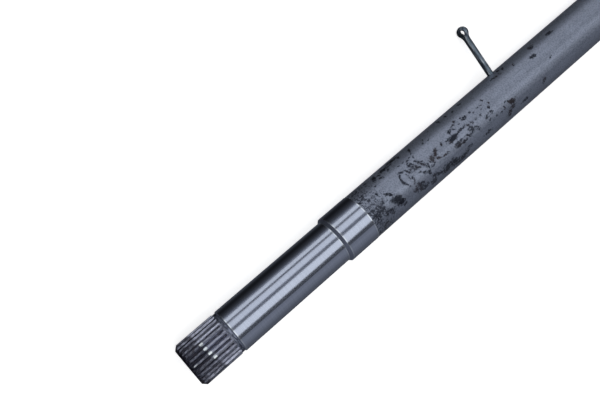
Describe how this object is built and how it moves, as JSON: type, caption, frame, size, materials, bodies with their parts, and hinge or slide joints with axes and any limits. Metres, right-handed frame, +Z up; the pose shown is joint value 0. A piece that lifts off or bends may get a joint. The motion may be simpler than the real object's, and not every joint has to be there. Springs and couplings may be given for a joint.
{
  "type": "axle shaft",
  "caption": "Steel axle shaft with a splined end, ground journal and shoulder band on an as-rolled bar, and a split pin standing in its cross hole.",
  "frame": {"origin": "on the shaft's axis, where the ground journal ends at the shoulder", "axes": "+X along the shaft, from the splined end towards the far end; +Z up as the shaft lies on a flat surface; +Y towards the side on which the split pin stands out"},
  "size_m": [0.445, 0.0704, 0.0335],
  "materials": {
    "shaft_steel": "ground journal and band, dark milled spline, grey bar with patches of mill scale",
    "pin_steel": "drawn half-round wire, dull zinc"
  },
  "bodies": {
    "root": {"axle_shaft": "shaft_steel", "split_pin": "pin_steel"}
  },
  "joints": []
}
